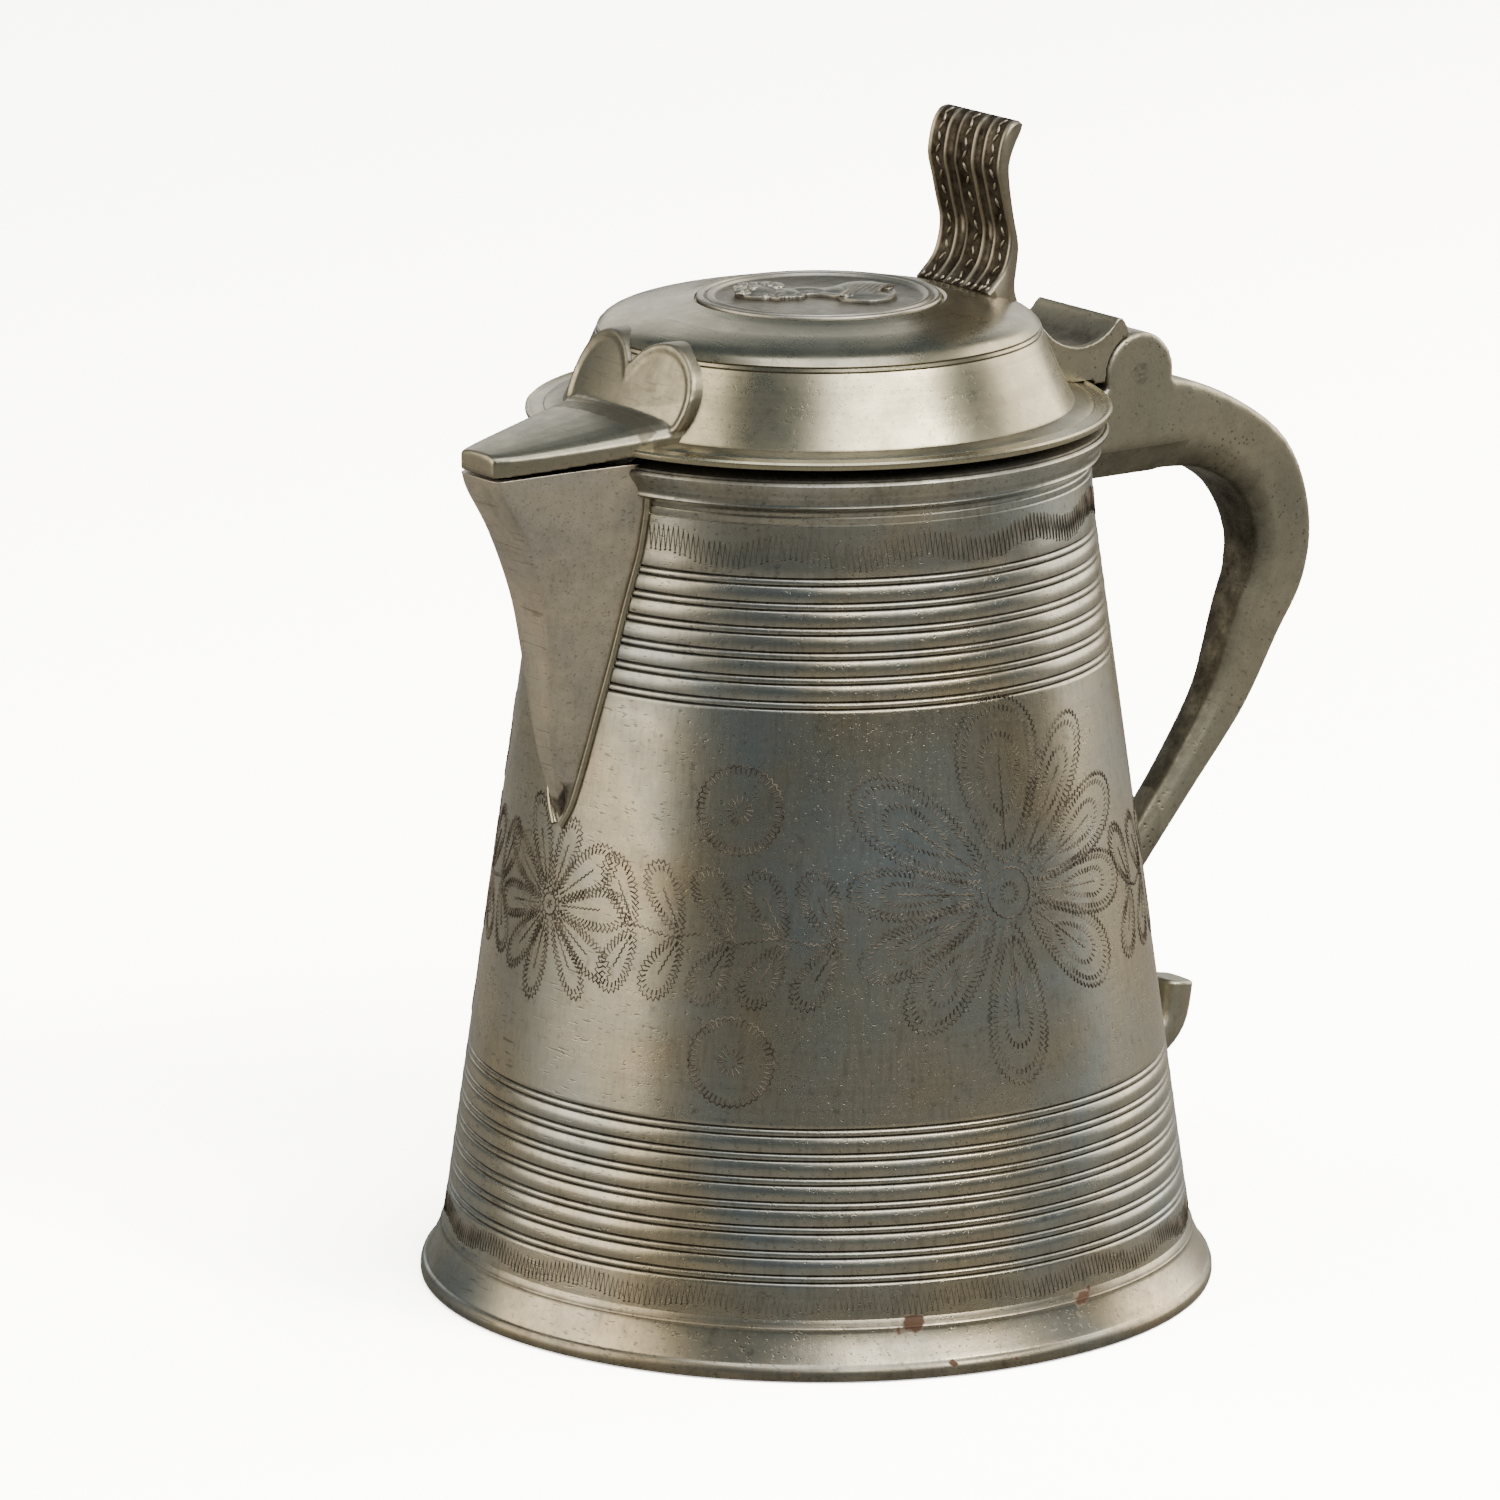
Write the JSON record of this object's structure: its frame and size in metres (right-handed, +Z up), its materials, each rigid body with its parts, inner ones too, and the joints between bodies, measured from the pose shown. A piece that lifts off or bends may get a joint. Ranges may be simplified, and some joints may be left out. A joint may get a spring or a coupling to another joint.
{
  "type": "lidded tankard",
  "caption": "Tapered pewter tankard with a pouring spout, a cast strap handle and a hinged, domed lid with a thumbpiece and a heart-shaped spout cover.",
  "frame": {"origin": "centre of the foot ring on the table", "axes": "+Z up, +X from the tankard's axis towards the handle, -X towards the spout, +Y completes a right-handed frame"},
  "size_m": [0.1793, 0.142, 0.2059],
  "materials": {
    "pewter_body": "worn turned pewter, warm grey, darker in the grooves",
    "pewter_lid": "worn turned pewter, smoother and brighter than the drum",
    "pewter_cast": "cast pewter, lightly pitted and rubbed by hand",
    "pewter_inside": "dull grey oxidised pewter"
  },
  "bodies": {
    "jug": {"drum": "pewter_body", "foot_ring": "pewter_body", "base_plate": "pewter_inside", "neck_rim": "pewter_body", "spout": "pewter_body", "handle_grip": "pewter_cast", "handle_knuckles": "pewter_cast", "handle_tail": "pewter_cast", "hinge_pin": "pewter_cast"},
    "lid": {"lid_shell": "pewter_lid", "lid_locating_ring": "pewter_inside", "lid_medallion": "pewter_lid", "lid_medallion_bust": "pewter_lid", "lid_spout_cover": "pewter_lid", "lid_heart_plate": "pewter_lid", "lid_bracket": "pewter_cast", "lid_thumbpiece": "pewter_cast"}
  },
  "joints": [
    {"name": "lid_hinge", "type": "hinge", "parent": "jug", "child": "lid", "pos_m": [0.0622, 0, 0.1576], "axis": [0, 1, 0], "range_deg": [0, 100]}
  ]
}
